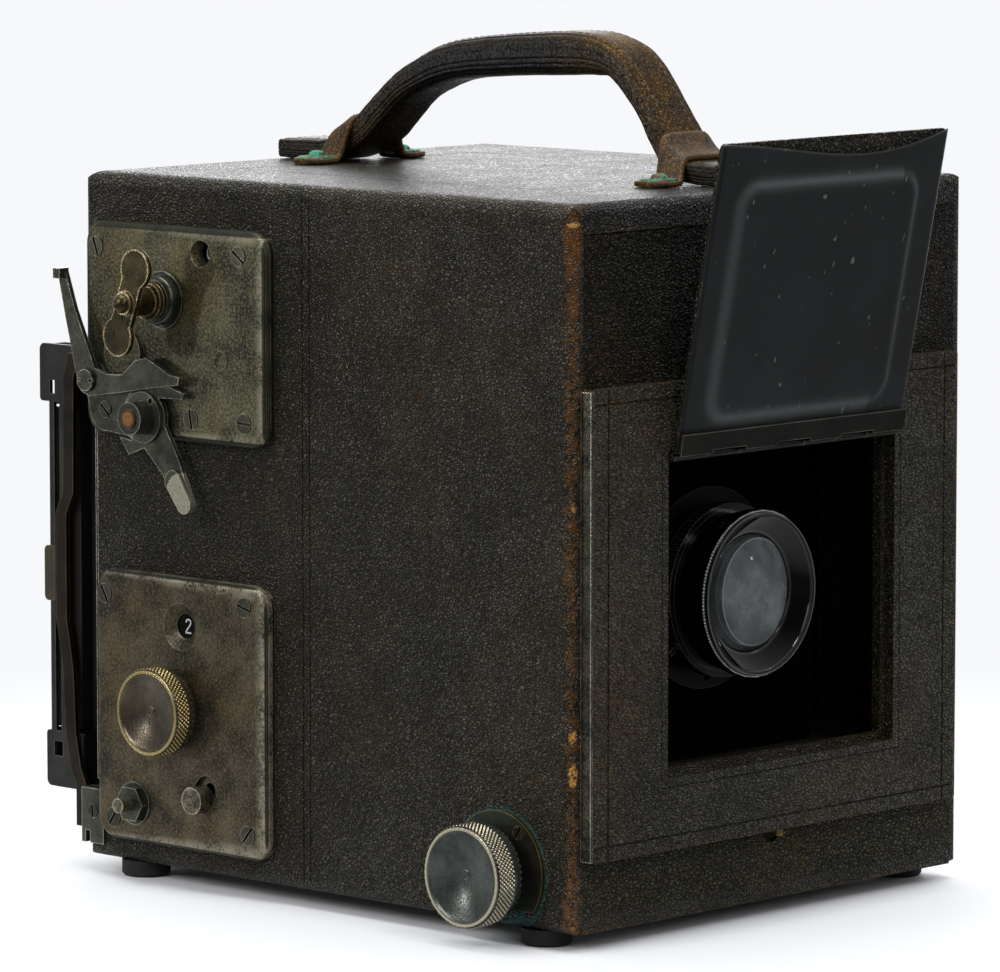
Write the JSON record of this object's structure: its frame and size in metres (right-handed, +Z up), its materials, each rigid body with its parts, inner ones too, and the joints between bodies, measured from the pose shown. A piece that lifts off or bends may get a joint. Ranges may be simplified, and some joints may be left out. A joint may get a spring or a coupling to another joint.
{
  "type": "single_lens_reflex_camera",
  "caption": "Leather-covered wooden single-lens reflex plate camera with open lens door, carrying handle, rack focusing, reflex mirror and focal-plane shutter gear plates",
  "frame": {"origin": "centre of the tripod bush's mouth, on the underside of the base board", "axes": "+Z up, -Y is where the lens looks, -X is the side with the gear plates and knobs"},
  "size_m": [0.2396, 0.3018, 0.3125],
  "materials": {
    "leather_black": "pebbled covering, worn to brown at the edges",
    "leather_handle": "smooth strap leather, rubbed pale at the edges",
    "plate_metal": "oxidised nickelled metal with bright worn edges",
    "knob_metal": "knurled, oxidised, with bright tooth tips",
    "bright_metal": "worn nickel plating",
    "brass_aged": "aged brass with green bloom",
    "hinge_metal": "blackened hinge metal, worn bright",
    "black_lacquer": "black lacquer on sheet metal and board",
    "bellows_cloth": "black coated cloth",
    "dark_wood": "stained hardwood",
    "slide_fibre": "black vulcanised fibre sheet",
    "spring_steel": "browned spring strip",
    "foot_rubber": "black foot pads",
    "lens_glass": "coated-free optical glass",
    "screen_glass": "ground screen glass",
    "mirror_silver": "front-silvered mirror"
  },
  "bodies": {
    "case": {"right_side_panel": "leather_black", "left_side_panel": "leather_black", "base_board": "leather_black", "front_panels": "leather_black", "front_frame": "leather_black", "frame_edge_strips": "bright_metal", "frame_catch": "brass_aged", "rear_upper_panel": "leather_black", "mirror_box_front": "black_lacquer", "bellows": "bellows_cloth", "bed_rails": "dark_wood", "screen_frame": "black_lacquer", "ground_glass": "screen_glass", "focusing_hood": "bellows_cloth", "film_gate": "black_lacquer", "back_frame": "black_lacquer", "plate_holder": "dark_wood", "holder_springs": "spring_steel", "corner_brackets": "plate_metal", "feet": "foot_rubber", "tripod_bush": "brass_aged", "upper_plate": "plate_metal", "lower_plate": "plate_metal", "panel_screws": "bright_metal", "focus_flange": "brass_aged", "shutter_curtain": "bellows_cloth", "lever_bracket": "plate_metal", "plate_bushes": "plate_metal", "fixed_hinge_leaves": "hinge_metal"},
    "lens": {"focus_bed": "dark_wood", "lens_board": "black_lacquer", "lens_flange": "black_lacquer", "lens_barrel": "black_lacquer", "lens_rim": "bright_metal", "lens_elements": "lens_glass"},
    "iris": {"iris_ring": "black_lacquer"},
    "focus_drive": {"focus_knob": "knob_metal", "focus_shaft": "brass_aged"},
    "door": {"door_panel": "black_lacquer", "door_leather": "leather_black", "door_hinge_leaf": "hinge_metal"},
    "lid": {"lid_board": "leather_black", "lid_hinge_leaf": "hinge_metal", "handle_strap": "leather_handle", "handle_loops": "leather_handle", "handle_feet": "brass_aged"},
    "mirror_unit": {"mirror_frame": "black_lacquer", "mirror_glass": "mirror_silver", "mirror_lever": "plate_metal"},
    "key": {"winding_key": "plate_metal"},
    "roller_top": {"upper_roller": "bright_metal"},
    "dial": {"number_dial": "black_lacquer"},
    "tension": {"tension_knob": "knob_metal"},
    "roller_bottom": {"lower_roller": "bright_metal"},
    "release": {"release_lever": "plate_metal"},
    "release_pin": {"release_button": "bright_metal"},
    "stop_pin": {"stop_button": "bright_metal"},
    "slide_blade": {"dark_slide": "slide_fibre"},
    "lock_right": {"slide_lock_right": "plate_metal"},
    "lock_left": {"slide_lock_left": "plate_metal"}
  },
  "joints": [
    {"name": "lens_focus", "type": "slide", "parent": "case", "child": "lens", "axis": [0, -1, 0], "range_m": [-0.012, 0.003], "deforming": ["bellows"]},
    {"name": "focus_knob_turn", "type": "hinge", "parent": "case", "child": "focus_drive", "pos_m": [-0.123, -0.088, 0.0196], "axis": [1, 0, 0], "range_deg": [-100, 26]},
    {"name": "iris_turn", "type": "hinge", "parent": "lens", "child": "iris", "pos_m": [0, -0.0985, 0.1092], "axis": [0, -1, 0], "range_deg": [-45, 45]},
    {"name": "door_hinge", "type": "hinge", "parent": "case", "child": "door", "pos_m": [0, -0.1274, 0.164], "axis": [-1, 0, 0], "range_deg": [-168.5, 8]},
    {"name": "lid_hinge", "type": "hinge", "parent": "case", "child": "lid", "pos_m": [0, 0.1198, 0.2431], "axis": [-1, 0, 0], "range_deg": [0, 100], "deforming": ["focusing_hood"]},
    {"name": "mirror_swing", "type": "hinge", "parent": "case", "child": "mirror_unit", "pos_m": [0, 0.0819, 0.1666], "axis": [-1, 0, 0], "range_deg": [0, 45]},
    {"name": "winding_key_turn", "type": "hinge", "parent": "case", "child": "key", "pos_m": [-0.118, 0.075, 0.2096], "axis": [-1, 0, 0], "continuous": true},
    {"name": "upper_roller_turn", "type": "hinge", "parent": "case", "child": "roller_top", "pos_m": [0, 0.09675, 0.21974], "axis": [-1, 0, 0], "continuous": true},
    {"name": "number_dial_turn", "type": "hinge", "parent": "case", "child": "dial", "pos_m": [-0.102, 0.04869, 0.21918], "axis": [-1, 0, 0], "continuous": true},
    {"name": "tension_knob_turn", "type": "hinge", "parent": "case", "child": "tension", "pos_m": [-0.112, 0.0725, 0.06], "axis": [-1, 0, 0], "continuous": true},
    {"name": "lower_roller_turn", "type": "hinge", "parent": "case", "child": "roller_bottom", "pos_m": [0, 0.09675, 0.03762], "axis": [-1, 0, 0], "continuous": true},
    {"name": "release_lever_swing", "type": "hinge", "parent": "case", "child": "release", "pos_m": [-0.1144, 0.1093, 0.1785], "axis": [-1, 0, 0], "range_deg": [0, 10], "stiffness_Nm_per_rad": 0.05, "springref_deg": -11.46},
    {"name": "release_button_press", "type": "slide", "parent": "case", "child": "release_pin", "axis": [1, 0, 0], "range_m": [0, 0.003], "stiffness_N_per_m": 400, "springref_m": -0.002},
    {"name": "stop_button_slide", "type": "slide", "parent": "case", "child": "stop_pin", "axis": [0, -0.6157, 0.788], "range_m": [0, 0.0045]},
    {"name": "dark_slide_pull", "type": "slide", "parent": "case", "child": "slide_blade", "axis": [-1, 0, 0], "range_m": [0, 0.17]},
    {"name": "slide_lock_right_slide", "type": "slide", "parent": "case", "child": "lock_right", "axis": [0, 0, 1], "range_m": [0, 0.003]},
    {"name": "slide_lock_left_slide", "type": "slide", "parent": "case", "child": "lock_left", "axis": [0, 0, 1], "range_m": [0, 0.003]}
  ],
  "couplings": [
    {"joint": "focus_knob_turn", "follows": "lens_focus", "rad_per_m": 142.86},
    {"joint": "upper_roller_turn", "follows": "winding_key_turn", "ratio": -1.4},
    {"joint": "number_dial_turn", "follows": "winding_key_turn", "ratio": -1},
    {"joint": "lower_roller_turn", "follows": "tension_knob_turn", "ratio": -2.3}
  ]
}
